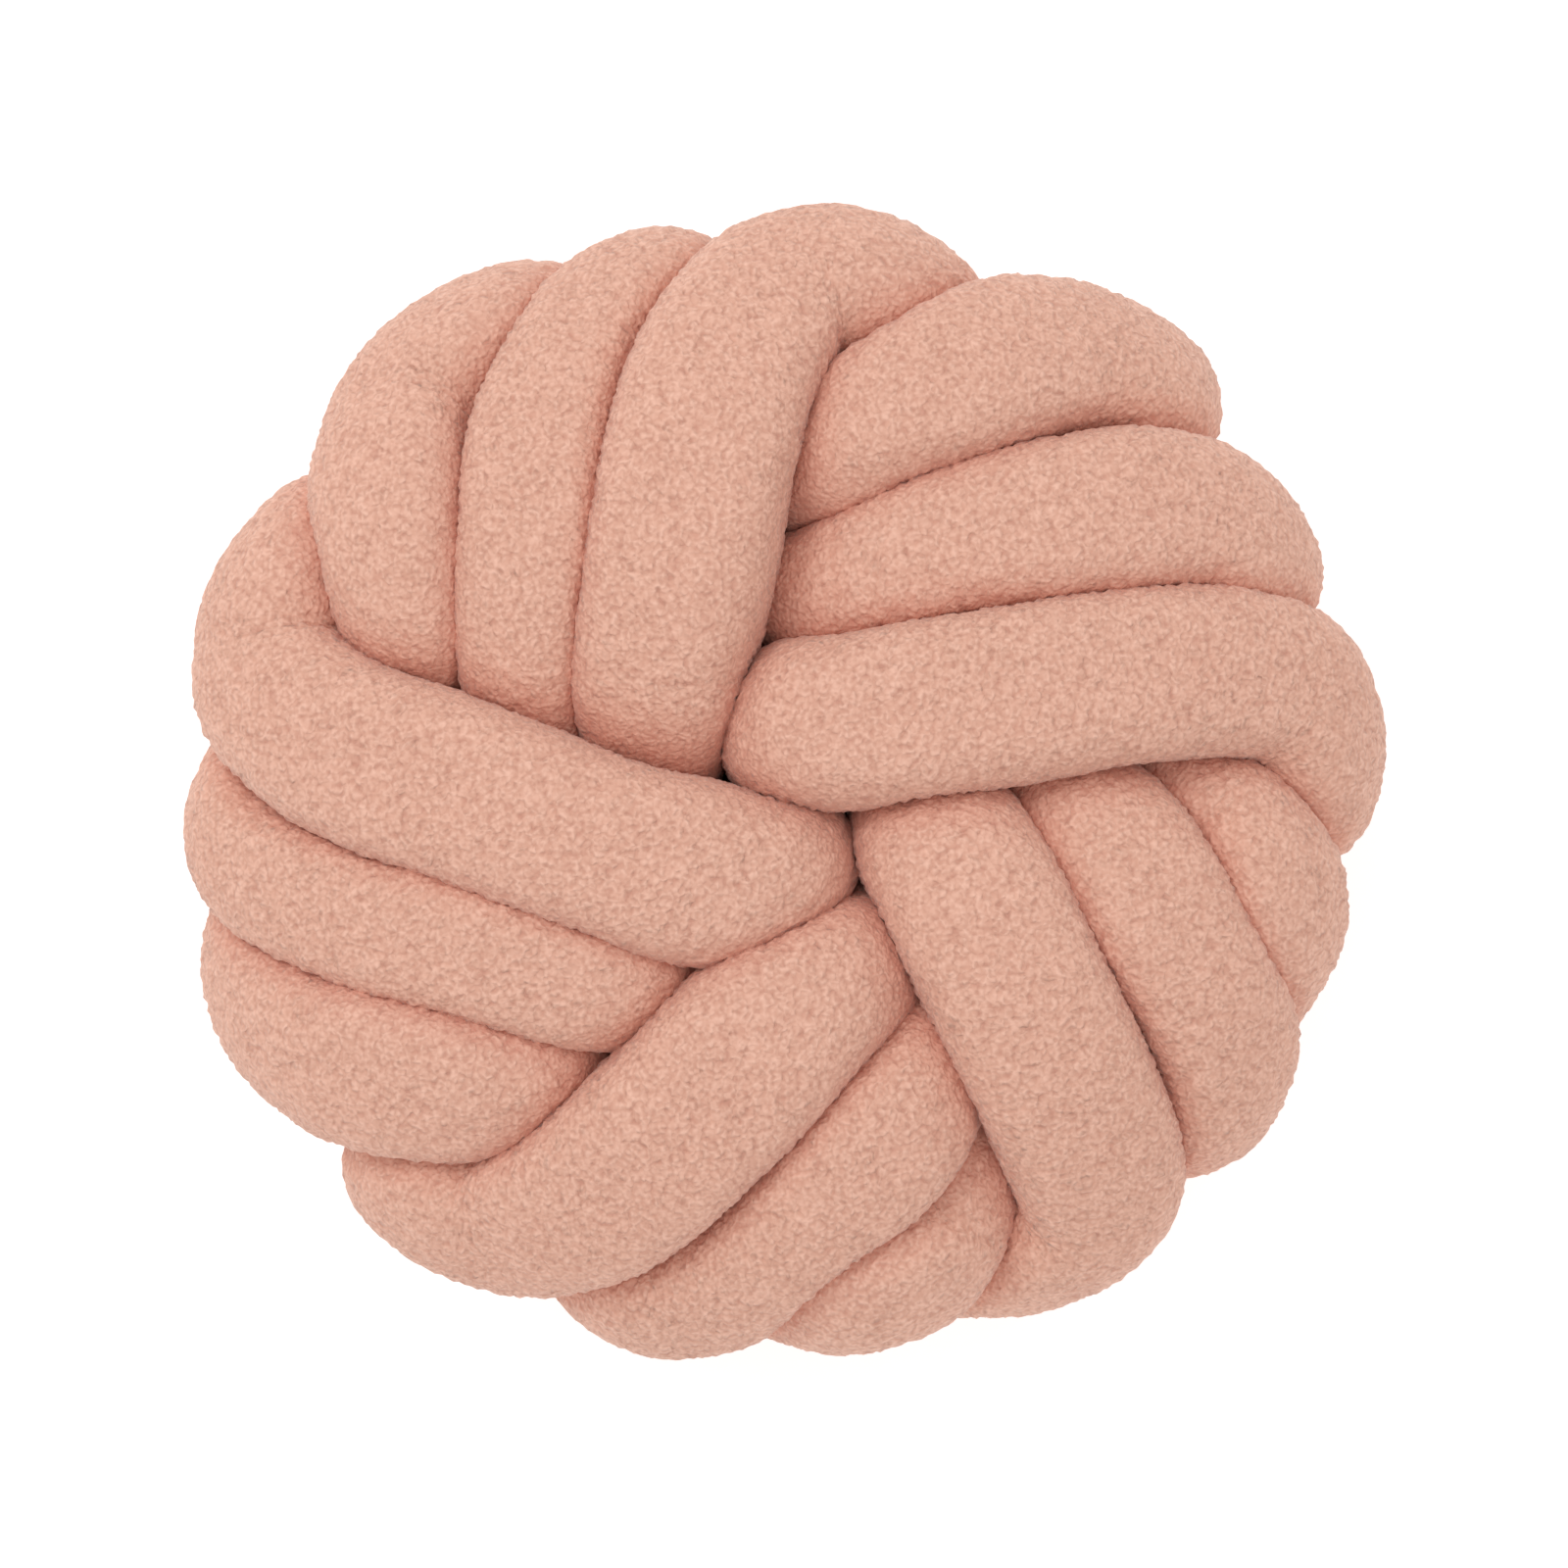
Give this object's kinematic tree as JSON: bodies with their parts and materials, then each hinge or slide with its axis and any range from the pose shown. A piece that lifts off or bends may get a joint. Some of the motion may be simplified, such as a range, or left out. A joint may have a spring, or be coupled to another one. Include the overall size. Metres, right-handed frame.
{
  "type": "knot cushion",
  "caption": "Round cushion knotted from one long stuffed tube of curly fleece, its passes in threes like a pinwheel, lying flat on its back.",
  "frame": {"origin": "under the middle of the knot, on the surface it lies on", "axes": "+Z out of the face of the knot, away from the surface; +Y up in the face as the picture shows it; X across the face, its widest measure"},
  "size_m": [0.3644, 0.3502, 0.1855],
  "materials": {
    "fleece": "dusty pink curly pile fleece, fully matt"
  },
  "bodies": {
    "root": {"knot_cushion": "fleece"}
  },
  "joints": []
}
